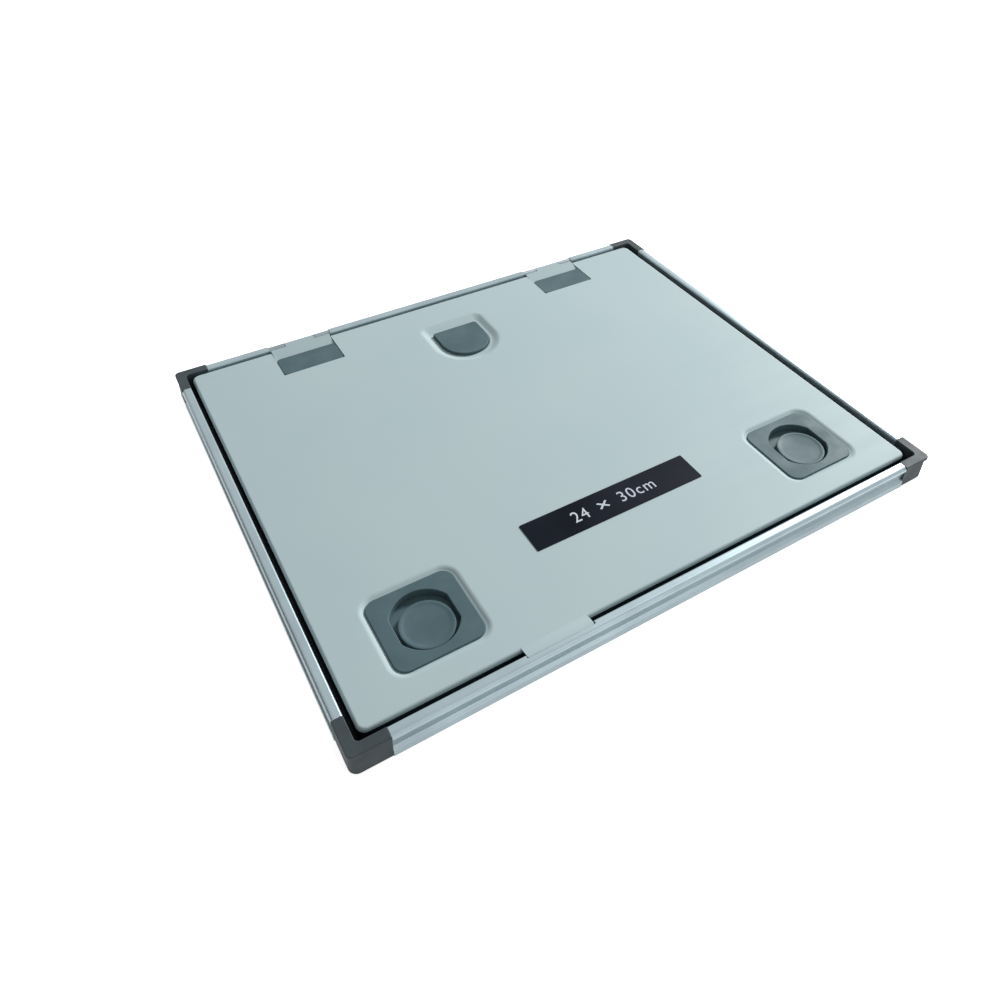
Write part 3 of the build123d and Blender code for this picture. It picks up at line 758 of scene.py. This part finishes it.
@dataclass
class LidSheet:
    """The pressed sheet lid, with everything that is stamped into it."""

    half_x: float = 155.5 * MM
    front: float = -124.9 * MM
    rear: float = 127.3 * MM
    corner: float = 4.0 * MM
    top: float = 13.6 * MM
    foot: float = 3.8 * MM
    sheet: float = 0.8 * MM
    rolled_edge: float = 1.4 * MM
    rolled_steps: int = 7
    # Below this level the lid's skirt is painted matt black as painted shade for the gap.
    painted_shade_from: float = 11.6 * MM
    margin: float = 1.0 * MM
    crease: float = 1.0 * MM
    hinge_x: float = 89.7 * MM
    channel_half: float = 18.7 * MM
    channel_front: float = 102.05 * MM
    channel_floor: float = 11.7 * MM
    latch_x: float = 111.0 * MM
    latch_y: float = -90.1 * MM
    recess: Pair = mm(43.6, 40.9)
    recess_corner: float = 6.3 * MM
    recess_floor: float = 12.3 * MM
    recess_slope: float = 2.0 * MM
    recess_hole: Pair = mm(33.0, 35.0)
    recess_hole_corner: float = 4.3 * MM
    dish_front: float = 61.8 * MM
    dish_rear: float = 105.6 * MM
    dish_half: float = 21.2 * MM
    dish_corner: float = 5.5 * MM
    dish_slope: float = 4.0 * MM
    dish_fade: float = 2.0 * MM
    dish_floor: float = 11.7 * MM
    plug_front: float = 68.2 * MM
    plug_rear: float = 97.7 * MM
    plug_half: float = 15.3 * MM
    plug_corner: float = 1.5 * MM
    slot_half: float = 7.5 * MM
    slot_low: float = 6.9 * MM
    slot_high: float = 8.3 * MM
    tongue_x: float = -66.3 * MM
    tongue_half: float = 16.6 * MM
    tongue_corner: float = 0.8 * MM
    tongue_run: tuple[Pair, ...] = run(
        (-122.6, 13.54), (-123.4, 13.6), (-124.2, 13.7), (-125.0, 13.86), (-126.0, 14.12),
        (-127.0, 14.38), (-127.8, 14.53), (-128.6, 14.6), (-129.9, 14.6),
    )

    def build(self) -> None:
        """Press the lid and its lift tongue and put them in the CAD lid's place."""
        form = Form()
        self.shell(form)
        self.channels(form)
        self.clear_top(form)
        for side in Side:
            self.latch_recess(form, side)
        self.plug_dish(form)
        form.close_level(self.top)
        self.bolt_slots(form)
        self.paint_skirt_shade(form)
        lid = form.finish("back_cover_sheet", "lid_paint", Body.LID, "back_cover")
        # The second material is the painted shade on the skirt.
        lid.data.materials.append(coat("skirt_painted_shade"))
        strip = Form()
        self.tongue(strip)
        for piece in (lid, strip.finish("lift_tongue", "lid_paint", Body.LID)):
            self.thicken(piece)

    def shell(self, form: Form) -> None:
        """Make the open-bottomed pan with its rolled upper edge."""
        middle = (0.0, (self.front + self.rear) / 2)
        size = (2 * self.half_x, self.rear - self.front)
        top = form.block(middle, size, self.corner, self.foot, self.top)
        form.soften(top.edges, self.rolled_edge, self.rolled_steps)
        form.open([f for f in form.bm.faces if at_level(f, self.foot)])

    def channels(self, form: Form) -> None:
        """Press the two hinge channels, which run out at the rear edge."""
        form.slice(Y_AXIS, self.channel_front - self.margin)
        rear_line = self.channel_front - self.margin / 2
        for side in Side:
            middle = side.sign * self.hinge_x
            low, high = middle - self.channel_half, middle + self.channel_half
            for place in (low - self.margin, low, high, high + self.margin):
                form.slice(X_AXIS, place, lambda c: c.y > rear_line)
            within = lambda c: low - self.margin < c.x < high + self.margin and c.y > rear_line
            form.slice(Y_AXIS, self.channel_front, within)
            form.slice(Z_AXIS, self.channel_floor, within)
            pressed = lambda c: low < c.x < high and c.y > self.channel_front
            form.open(form.faces(lambda c: pressed(c) and c.z > self.channel_floor))
            kept = (self.foot, self.channel_floor)
            wall = [e for e in form.rim() if not any(at_level(e, level) for level in kept)]
            form.drop_to(wall, self.channel_floor)
            floor = [e for e in form.rim() if at_level(e, self.channel_floor)]
            bmesh.ops.edgeloop_fill(form.bm, edges=floor)
        form.ease(self.is_channel_crease, self.crease)

    def is_channel_crease(self, edge: Edge) -> bool:
        """Whether an edge belongs to a channel's front or sides, short of the rolled edge."""
        points = [v.co for v in edge.verts]
        flat_end = self.rear - self.rolled_edge + LEVEL_TOLERANCE
        near = all(abs(abs(p.x) - self.hinge_x) < self.channel_half + LEVEL_TOLERANCE for p in points)
        return near and all(self.channel_front - LEVEL_TOLERANCE < p.y < flat_end for p in points)

    def clear_top(self, form: Form) -> None:
        """Take the flat top away, except for the strips round the channels."""
        reach = self.channel_half + self.margin
        rear = self.channel_front - self.margin
        away = form.faces(lambda c: abs(abs(c.x) - self.hinge_x) >= reach or c.y <= rear)
        form.open([f for f in away if at_level(f, self.top)])

    def latch_recess(self, form: Form, side: Side) -> None:
        """Press the sloping recess for one latch bezel, with the hole for the bezel's body."""
        centre = (side.sign * self.latch_x, self.latch_y)
        spread = self.recess_slope + self.margin
        size = tuple(part + 2 * spread for part in self.recess)
        face = form.plate(centre, size, self.recess_corner + spread, self.top)
        form.ring(face, self.margin)
        form.ring(face, self.recess_slope, self.top - self.recess_floor)
        form.ease(self.around(centre, spread + self.recess[0]), self.crease)
        hole = (centre, self.recess_hole, self.recess_hole_corner, self.recess_floor)
        form.hole_at(self.recess_floor, lambda: form.plate(*hole))

    def plug_dish(self, form: Form) -> None:
        """Press the dish round the plug, steep in front and fading out behind."""
        spread = self.margin
        face = form.shield(
            self.dish_front - spread,
            self.dish_rear + spread,
            self.dish_half + spread,
            self.dish_corner + spread,
            self.top,
        )
        form.ring(face, self.margin)
        form.ring(face, self.dish_slope, self.top - self.dish_floor)
        rear_edge = [v for v in face.verts if v.co.y > self.dish_rear - self.dish_slope - self.dish_corner]
        bmesh.ops.translate(form.bm, verts=rear_edge, vec=(0.0, -self.dish_fade, 0.0))
        middle = (0.0, (self.dish_front + self.dish_rear) / 2)
        form.ease(self.around(middle, self.dish_rear - self.dish_front), self.crease)
        hole = (self.plug_front, self.plug_rear, self.plug_half, self.plug_corner, self.dish_floor)
        form.hole_at(self.dish_floor, lambda: form.shield(*hole))

    def bolt_slots(self, form: Form) -> None:
        """Pierce the front skirt where the bolts come through."""
        wall = lambda c: c.y < self.front + LEVEL_TOLERANCE
        for side in Side:
            low, high = (side.sign * self.latch_x + part for part in (-self.slot_half, self.slot_half))
            for place in (low, high):
                form.slice(X_AXIS, place, wall)
            column = lambda c: wall(c) and low < c.x < high
            for level in (self.slot_low, self.slot_high):
                form.slice(Z_AXIS, level, column)
            form.open(form.faces(lambda c: column(c) and self.slot_low < c.z < self.slot_high))

    def tongue(self, form: Form) -> None:
        """Draw the lift tongue as one strip that leaves the lid's top and steps up to the rail."""
        sides = (self.tongue_x + end * self.tongue_half for end in (-1, 1))
        edge = form.bm.edges.new([form.bm.verts.new((side, *self.tongue_run[0])) for side in sides])
        for place, point in zip(self.tongue_run, self.tongue_run[1:]):
            made = bmesh.ops.extrude_edge_only(form.bm, edges=[edge])["geom"]
            moved = form.verts(made)
            shift = (0.0, point[0] - place[0], point[1] - place[1])
            bmesh.ops.translate(form.bm, verts=moved, vec=shift)
            edge = next(e for e in made if isinstance(e, Edge) and set(e.verts) <= set(moved))
        form.round_corners(list(edge.verts), self.tongue_corner, EDGE_STEPS)
        for face in form.bm.faces:
            if face.normal.z < 0:
                face.normal_flip()

    def paint_skirt_shade(self, form: Form) -> None:
        """Paint the skirt inside the frame, from a little below the rolled edge, matt black: painted shade
        that stands in for the shade in the gap between the lid and the frame.
        """
        reach = self.corner + LEVEL_TOLERANCE

        def outer(place: Vector) -> bool:
            """Whether a place lies on the skirt and not on a pressing."""
            beside = abs(place.x) > self.half_x - reach
            ahead = place.y < self.front + reach or place.y > self.rear - LEVEL_TOLERANCE
            return (beside or ahead) and place.z < self.top - self.rolled_edge

        form.slice(Z_AXIS, self.painted_shade_from, outer)
        # Painted shade: the skirt faces below the level take the matt black that stands in for the gap's
        # shade.
        for face in form.faces(lambda c: outer(c) and c.z < self.painted_shade_from):
            face.material_index = 1

    def thicken(self, piece: Piece) -> None:
        """Give the drawn surface the sheet's thickness, inwards."""
        wall = piece.modifiers.new("sheet", "SOLIDIFY")
        wall.thickness = self.sheet
        wall.offset = -1.0
        wall.use_even_offset = True
        piece.modifiers.move(len(piece.modifiers) - 1, 0)

    @staticmethod
    def around(centre: Pair, reach: float) -> Callable[[Edge], bool]:
        """A test for edges within reach of a point."""
        return lambda edge: all((v.co.xy - Vector(centre)).length < reach for v in edge.verts)


@dataclass
class LidFittings:
    """The hinge pads, the plug in its dish and the size plate."""

    pad: Pair = mm(36.7, 16.6)
    pad_x: float = 89.7 * MM
    pad_y: float = 110.7 * MM
    pad_foot: float = 12.5 * MM
    pad_top: float = 13.4 * MM
    pad_corner: float = 2.6 * MM
    pad_edge: float = 0.4 * MM
    plug_front: float = 68.5 * MM
    plug_rear: float = 97.4 * MM
    plug_half: float = 15.0 * MM
    plug_corner: float = 1.5 * MM
    plug_foot: float = 10.9 * MM
    plug_top: float = 13.4 * MM
    plug_edge: float = 0.45 * MM
    flange: float = 1.8 * MM
    flange_height: float = 0.7 * MM
    plate: Pair = mm(99.0, 17.7)
    plate_y: float = -74.6 * MM
    plate_foot: float = 13.6 * MM
    plate_height: float = 0.4 * MM
    plate_corner: float = 0.6 * MM
    plate_edge: float = 0.1 * MM
    plate_edge_steps: int = 2
    print_spacing: float = 1.14
    print_lift: float = 0.03 * MM
    print_words: tuple[tuple[str, Triple], ...] = (
        ("24", mm(-24.4, -15.4, 6.7)),
        ("×", mm(-9.2, -3.2, 4.6)),
        ("30cm", mm(3.5, 24.6, 6.7)),
    )

    def build(self) -> None:
        """Make the fittings and put them in the CAD ones' places."""
        for side in Side:
            form = Form()
            middle = (side.sign * self.pad_x, self.pad_y)
            top = form.block(middle, self.pad, self.pad_corner, self.pad_foot, self.pad_top)
            form.soften(top.edges, self.pad_edge)
            name = f"hinge_pad_{side.value}"
            form.finish(f"{name}_cover", "fitting_plastic", Body.LID, name)
        self.plug()
        self.size_plate()

    def plug(self) -> None:
        """Mould the plug with the flange that holds it from inside."""
        form = Form()
        edges = (self.plug_front, self.plug_rear, self.plug_half)
        body = form.shield(*edges, self.plug_corner, self.plug_foot)
        form.soften(form.raised(body, self.plug_top - self.plug_foot).edges, self.plug_edge)
        grown = (edge + sign * self.flange for edge, sign in zip(edges, (-1, 1, 1)))
        flange = form.shield(*grown, self.plug_corner, self.plug_foot - self.flange_height)
        form.raised(flange, self.flange_height)
        form.finish("dish_plug_body", "fitting_plastic", Body.LID, "dish_plug")

    def size_plate(self) -> None:
        """Make the black plate and print the film size on it."""
        form = Form()
        middle = (0.0, self.plate_y)
        top = form.block(
            middle, self.plate, self.plate_corner, self.plate_foot, self.plate_foot + self.plate_height
        )
        form.soften(top.edges, self.plate_edge, self.plate_edge_steps)
        for words, (left, right, height) in self.print_words:
            self.print_on(form, words, left, right, height)
        piece = form.finish("size_plate_printed", "plate_black", Body.LID, "size_plate")
        piece.data.materials.append(coat("plate_print"))

    def print_on(self, form: Form, words: str, left: float, right: float, height: float) -> None:
        """Lay one group of characters on the plate between two places.

        Args:
            form: The plate's form.
            words: The characters.
            left: Where they start along X.
            right: Where they end along X.
            height: How tall they are.
        """
        curve = bpy.data.curves.new("print", "FONT")
        curve.body = words
        curve.space_character = self.print_spacing
        curve.extrude = 0.5
        carrier = bpy.data.objects.new("print", curve)
        bpy.context.scene.collection.objects.link(carrier)
        bpy.context.view_layer.update()
        graph = bpy.context.evaluated_depsgraph_get()
        flat = bpy.data.meshes.new_from_object(carrier.evaluated_get(graph))
        low, high = ([pick(v.co[i] for v in flat.vertices) for i in range(2)] for pick in (min, max))
        scale = ((right - left) / (high[0] - low[0]), height / (high[1] - low[1]), 2 * self.print_lift)
        level = self.plate_foot + self.plate_height
        place = Matrix.Translation((left, self.plate_y - height / 2, level)) @ Matrix.Diagonal((*scale, 1.0))
        flat.transform(place @ Matrix.Translation((-low[0], -low[1], 0.0)))
        plate_faces = set(form.bm.faces)
        form.bm.from_mesh(flat)
        for face in form.bm.faces:
            if face not in plate_faces and face.material_index == 0:
                face.material_index = 1
        bpy.data.objects.remove(carrier)
        bpy.data.curves.remove(curve)
        bpy.data.meshes.remove(flat)


# ---------------------------------------------------------------- latches


@dataclass
class Latch:
    """One slide latch: its bezel, thumb slide and return spring."""

    side: Side
    middle_x: float = 111.0 * MM
    middle_y: float = -90.1 * MM
    bezel: Pair = mm(43.0, 40.3)
    bezel_corner: float = 6.0 * MM
    bezel_seat: float = 12.3 * MM
    bezel_top: float = 13.3 * MM
    bezel_edge: float = 0.5 * MM
    body: Pair = mm(32.4, 34.4)
    body_corner: float = 4.0 * MM
    body_foot: float = 9.2 * MM
    well_radius: float = 15.5 * MM
    well_flat: float = 14.0 * MM
    well_roll: float = 0.4 * MM
    slide_y: float = -92.35 * MM
    base: Pair = mm(32.4, 36.6)
    base_corner: float = 3.0 * MM
    base_foot: float = 8.2 * MM
    base_height: float = 0.8 * MM
    disc_profile: tuple[Pair, ...] = run(
        (0.0, 8.6), (12.6, 8.6), (12.6, 11.76), (12.55, 11.9), (12.43, 12.02), (12.25, 12.08),
        (11.95, 12.1), (11.55, 12.09), (11.2, 12.05), (10.8, 11.95), (10.3, 11.84), (9.4, 11.76),
        (7.0, 11.72), (3.5, 11.7), (0.0, 11.7),
    )
    peg_radius: float = 1.5 * MM
    peg_spread: float = 6.0 * MM
    peg_foot: float = 7.1 * MM
    peg_steps: int = 24
    spring_front: float = -72.0 * MM
    spring_rear: float = -61.0 * MM
    spring_z: float = 8.7 * MM
    coil_radius: float = 1.35 * MM
    wire_radius: float = 0.25 * MM
    wire_steps: int = 8
    turns: int = 13
    steps_per_turn: int = 20
    pressed_share: float = 0.64

    @property
    def centre(self) -> Pair:
        """The middle of the bezel."""
        return (self.side.sign * self.middle_x, self.middle_y)

    def build(self) -> None:
        """Make the latch and put it in the CAD one's place."""
        name = self.side.value
        bezel, slide, spring = (f"{stem}_{name}" for stem in ("latch_bezel", "thumb_slide", "latch_spring"))
        self.bezel_form().finish(f"{bezel}_frame", "fitting_plastic", Body.LID, bezel)
        self.slide_form().finish(f"{slide}_disc", "fitting_plastic", Body.latch(self.side), slide)
        coil = self.spring_form().finish(
            f"{spring}_coil", "spring_wire", Body.LID, spring, slot="hinge_steel"
        )
        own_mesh(coil)

    def bezel_form(self) -> Form:
        """Mould the bezel: a rounded flange on a body, with the flat-sided round well through both."""
        form = Form()
        upper = form.block(self.centre, self.bezel, self.bezel_corner, self.bezel_seat, self.bezel_top)
        form.soften(upper.edges, self.bezel_edge)
        form.block(self.centre, self.body, self.body_corner, self.body_foot, self.bezel_seat)
        levels = (self.bezel_top, self.bezel_seat, self.body_foot)
        form.clear_levels(*levels)
        mouth = form.disc(self.centre, self.well_radius + self.well_roll, self.bezel_top)
        for sign in (-1, 1):
            flat = self.centre[0] + sign * (self.well_flat + self.well_roll)
            mouth = form.trim(mouth, X_AXIS * flat, X_AXIS * sign)
        form.roll_in(mouth, self.well_roll)
        form.deepen(mouth, self.bezel_top - self.well_roll - self.body_foot)
        form.clear_levels(self.body_foot)
        for level in levels:
            form.close_level(level)
        return form

    def slide_form(self) -> Form:
        """Mould the thumb slide: a base plate, the dished disc on it and two pegs below."""
        form = Form()
        place = (self.centre[0], self.slide_y)
        base = form.plate(place, self.base, self.base_corner, self.base_foot)
        form.raised(base, self.base_height)
        form.turned(self.disc_profile, place)
        for sign in (-1, 1):
            middle = (place[0], place[1] + sign * self.peg_spread)
            peg = form.disc(middle, self.peg_radius, self.peg_foot, self.peg_steps)
            form.raised(peg, self.base_foot - self.peg_foot)
        return form

    def spring_form(self) -> Form:
        """Wind the return spring along Y."""
        form = Form()
        reach = self.spring_rear - self.spring_front - 2 * self.wire_radius
        first = (self.centre[0] + self.coil_radius, self.spring_front + self.wire_radius)
        wire = form.disc(first, self.wire_radius, self.spring_z, self.wire_steps)
        steps = self.turns * self.steps_per_turn
        geometry = dict.fromkeys(item for v in wire.verts for item in (v, *v.link_edges, *v.link_faces))
        bmesh.ops.spin(
            form.bm,
            geom=list(geometry),
            cent=(self.centre[0], first[1], self.spring_z),
            axis=(0.0, 1.0, 0.0),
            dvec=(0.0, reach / steps, 0.0),
            angle=self.turns * math.tau,
            steps=steps,
            use_merge=False,
            use_duplicate=False,
        )
        return form


# ---------------------------------------------------------------- frame and stack


@dataclass
class TubeSide:
    """The frame side: rails, corner caps, panel, screen, felt and hinge brackets."""

    felt_reach: Pair = mm(157.6, 127.6)
    felt_width: float = 4.0 * MM
    felt_foot: float = 2.3 * MM
    felt_height: float = 1.3 * MM
    felt_step: float = 1.6 * MM
    felt_least: int = 6
    felt_crown: float = 0.35 * MM
    felt_fuzz: float = 0.09 * MM
    fuzz_scale: float = 900.0

    def build(self, nodes: dict[str, Piece]) -> None:
        """Dress the frame's solids and make its felt."""
        dress(nodes, "rail_along_x", "frame_rail_front", "frame_rail_rear")
        dress(nodes, "rail_along_y", "frame_rail_left", "frame_rail_right")
        dress(nodes, "cap_plastic", *both("corner_cap_front", "corner_cap_rear"))
        dress(nodes, "front_laminate", "front_panel")
        dress(nodes, "screen_sheet", "front_screen")
        dress(nodes, "hinge_steel", *both("hinge_bracket", "hinge_pin"))
        dress(nodes, "rivet_aluminium", "bracket_rivets")
        self.felt()

    def felt(self) -> None:
        """Lay the four light-trap strips."""
        reach_x, reach_y = self.felt_reach
        half = self.felt_width / 2
        along_x, along_y = (2 * reach_x, self.felt_width), (self.felt_width, 2 * (reach_y - self.felt_width))
        for name, sign in (("front", -1), ("rear", 1)):
            self.strip(name, (0.0, sign * (reach_y - half)), along_x)
        for side in Side:
            self.strip(side.value, (side.sign * (reach_x - half), 0.0), along_y)

    def strip(self, name: str, middle: Pair, size: Pair) -> None:
        """Lay one felt strip: crowned across its width, with an uneven pile."""
        form = Form()
        across = 0 if size[0] < size[1] else 1
        counts = tuple(max(self.felt_least, round(part / self.felt_step)) for part in size)
        form.grid(lying(middle, size, self.felt_foot + self.felt_height), counts)
        for vert in form.bm.verts:
            share = abs(vert.co[across] - middle[across]) / (size[across] / 2)
            fuzz = noise.noise(vert.co * self.fuzz_scale) - 1.0
            vert.co.z += self.felt_fuzz * fuzz - self.felt_crown * share**4
        form.drop_to(form.rim(), self.felt_foot)
        bmesh.ops.edgeloop_fill(form.bm, edges=form.rim())
        form.finish(f"felt_{name}_pile", "felt_pile", Body.FRAME, f"felt_strip_{name}", slot="felt")


@dataclass
class LidStack:
    """What the lid carries under its sheet: hinge leaves, guides, tray, lead, foam and screen."""

    foam: Pair = mm(302.0, 242.0)
    foam_foot: float = 3.6 * MM
    foam_height: float = 1.7 * MM
    foam_corner: float = 1.0 * MM
    foam_bulge: float = 0.25 * MM
    foam_cuts: int = 5
    foam_tightness: float = 0.9

    def build(self, nodes: dict[str, Piece]) -> None:
        """Dress the lid's solids and make its foam pad."""
        dress(nodes, "leaf_paint", *both("hinge_leaf"))
        dress(nodes, "hinge_steel", *both("latch_guide", "latch_bolt"))
        dress(nodes, "rivet_aluminium", "leaf_rivets", "guide_rivets")
        dress(nodes, "tray_aluminium", "pressure_tray")
        dress(nodes, "lead_foil", "lead_foil")
        dress(nodes, "screen_sheet", "rear_screen")
        self.pad()

    def pad(self) -> None:
        """Make the foam pad, whose pressed edges bulge."""
        form = Form()
        size = tuple(part - 2 * self.foam_bulge for part in self.foam)
        form.raised(form.plate((0.0, 0.0), size, self.foam_corner, self.foam_foot), self.foam_height)
        rise = lambda e: abs(e.verts[0].co.z - e.verts[1].co.z)
        upright = [e for e in form.bm.edges if rise(e) > self.foam_height / 2]
        bmesh.ops.subdivide_edges(form.bm, edges=upright, cuts=self.foam_cuts, use_grid_fill=True)
        middle = self.foam_foot + self.foam_height / 2
        for vert in form.bm.verts:
            share = 1.0 - (2 * (vert.co.z - middle) / self.foam_height) ** 2
            for axis, part in enumerate(size):
                vert.co[axis] *= 1.0 + 2 * self.foam_bulge * share / part
        piece = form.finish("foam_pad_body", "pressure_foam", Body.LID, "foam_pad", slot="foam")


# ---------------------------------------------------------------- studio


@dataclass
class Studio:
    """The pale floor, the soft lights and the camera."""

    floor_size: float = 6.0
    floor_drop: float = 0.05 * MM
    floor_colour: Colour = (0.88, 0.88, 0.88, 1.0)
    floor_glow: float = 0.8
    sky: float = 0.39
    key_power: float = 108.0
    key_size: Pair = (0.7, 0.5)
    key_azimuth: float = math.radians(21.0)
    key_height: float = math.radians(30.0)
    key_distance: float = 3.0
    fill_power: float = 1.0
    fill_size: Pair = (0.6, 0.6)
    fill_place: Triple = (0.25, -0.9, 0.5)
    card_place: Triple = (-0.5, 0.05, 0.19)
    card_size: Pair = (0.9, 0.26)
    card_colour: Colour = (0.012, 0.014, 0.016, 1.0)
    target: Triple = (0.0, 0.0, 0.01)
    eye: Triple = (-0.2016, -0.3121, 0.3344)
    right: Triple = (0.857319, -0.514418, 0.019442)
    down: Triple = (-0.288754, -0.511812, -0.809116)
    ahead: Triple = (0.426174, 0.688057, -0.587327)
    lens: float = 31.72
    sensor: float = 36.0
    shift: Pair = (-0.024, -0.16)

    def build(self) -> None:
        """Set up the room."""
        scene = bpy.context.scene
        scene.view_settings.view_transform = "Standard"
        self.floor()
        self.card()
        self.world(scene)
        reach = Vector((
            math.cos(self.key_height) * math.cos(self.key_azimuth),
            math.cos(self.key_height) * math.sin(self.key_azimuth),
            math.sin(self.key_height),
        ))
        self.lamp("key", Vector(self.target) + reach * self.key_distance, self.key_power, self.key_size)
        self.lamp("fill", Vector(self.fill_place), self.fill_power, self.fill_size)
        self.camera(scene)

    def sheet(self, name: str, place: Matrix, colour: Colour, **inputs: object) -> tuple[Piece, Bench]:
        """Put one flat matt piece of the room in its place, and return it with its bench."""
        form = Form()
        form.grid(place)
        bench = Bench(name)
        bench.set(Base_Color=colour, Roughness=0.9, Specular_IOR_Level=0.1, **inputs)
        return form.placed(name, bench.material), bench

    def floor(self) -> None:
        """Lay the floor, which shows white to the camera and keeps the shadow."""
        place = lying((0.0, 0.0), (self.floor_size, self.floor_size), -self.floor_drop)
        floor, bench = self.sheet("floor", place, self.floor_colour, Emission_Color=WHITE)
        bench.set(Emission_Strength=bench.spread(bench.seen(), FULL, (0.0, self.floor_glow)))
        floor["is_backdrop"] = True

    def card(self) -> None:
        """Stand a dark card at the left, out of the camera's sight, so that left faces stay dark."""
        upright = Matrix.Rotation(math.pi / 2, 4, "Z") @ Matrix.Rotation(math.pi / 2, 4, "X")
        place = Matrix.Translation(self.card_place) @ upright @ Matrix.Diagonal((*self.card_size, 1.0, 1.0))
        card, _ = self.sheet("dark_card", place, self.card_colour)
        card.visible_camera = False
        card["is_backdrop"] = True

    def world(self, scene: bpy.types.Scene) -> None:
        """Set an even sky that looks white and lights softly."""
        world = bpy.data.worlds.new("studio")
        world.use_nodes = True
        scene.world = world
        wiring = Wiring(world.node_tree)
        strength = wiring.spread(wiring.seen(), FULL, (self.sky, 1.0))
        wiring.fill(world.node_tree.nodes["Background"], {"Color": WHITE, "Strength": strength})

    def lamp(self, name: str, place: Vector, power: float, size: Pair) -> None:
        """Hang one soft box that faces the cassette."""
        light = bpy.data.lights.new(name, "AREA")
        light.shape = "RECTANGLE"
        light.size, light.size_y = size
        light.energy = power
        lamp = bpy.data.objects.new(name, light)
        lamp.location = place
        lamp.rotation_euler = (Vector(self.target) - place).to_track_quat("-Z", "Y").to_euler()
        bpy.context.scene.collection.objects.link(lamp)

    def camera(self, scene: bpy.types.Scene) -> None:
        """Stand the camera where the photograph was taken from."""
        data = bpy.data.cameras.new("camera")
        data.lens = self.lens
        data.sensor_width = self.sensor
        data.shift_x, data.shift_y = self.shift
        camera = bpy.data.objects.new("camera", data)
        columns = (Vector(self.right), -Vector(self.down), -Vector(self.ahead))
        turn = Matrix(columns).transposed().to_4x4()
        camera.matrix_world = Matrix.Translation(self.eye) @ turn
        scene.collection.objects.link(camera)
        scene.camera = camera


def corners(bounds: Iterable[Vector]) -> list[list[float]]:
    """Turn a box's two corners into plain numbers."""
    return [[float(part) for part in corner] for corner in bounds]


def main() -> None:
    """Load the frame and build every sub-assembly around it."""
    logging.basicConfig(level=logging.INFO, format="%(name)s: %(message)s")
    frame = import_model()
    solid_box = corners(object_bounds())
    TubeSide().build(frame["nodes"])
    LidSheet().build()
    LidFittings().build()
    for side in Side:
        Latch(side).build()
    LidStack().build(frame["nodes"])
    Studio().build()
    {"cad": solid_box, "visual": corners(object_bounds())}


if __name__ == "__main__":
    main()
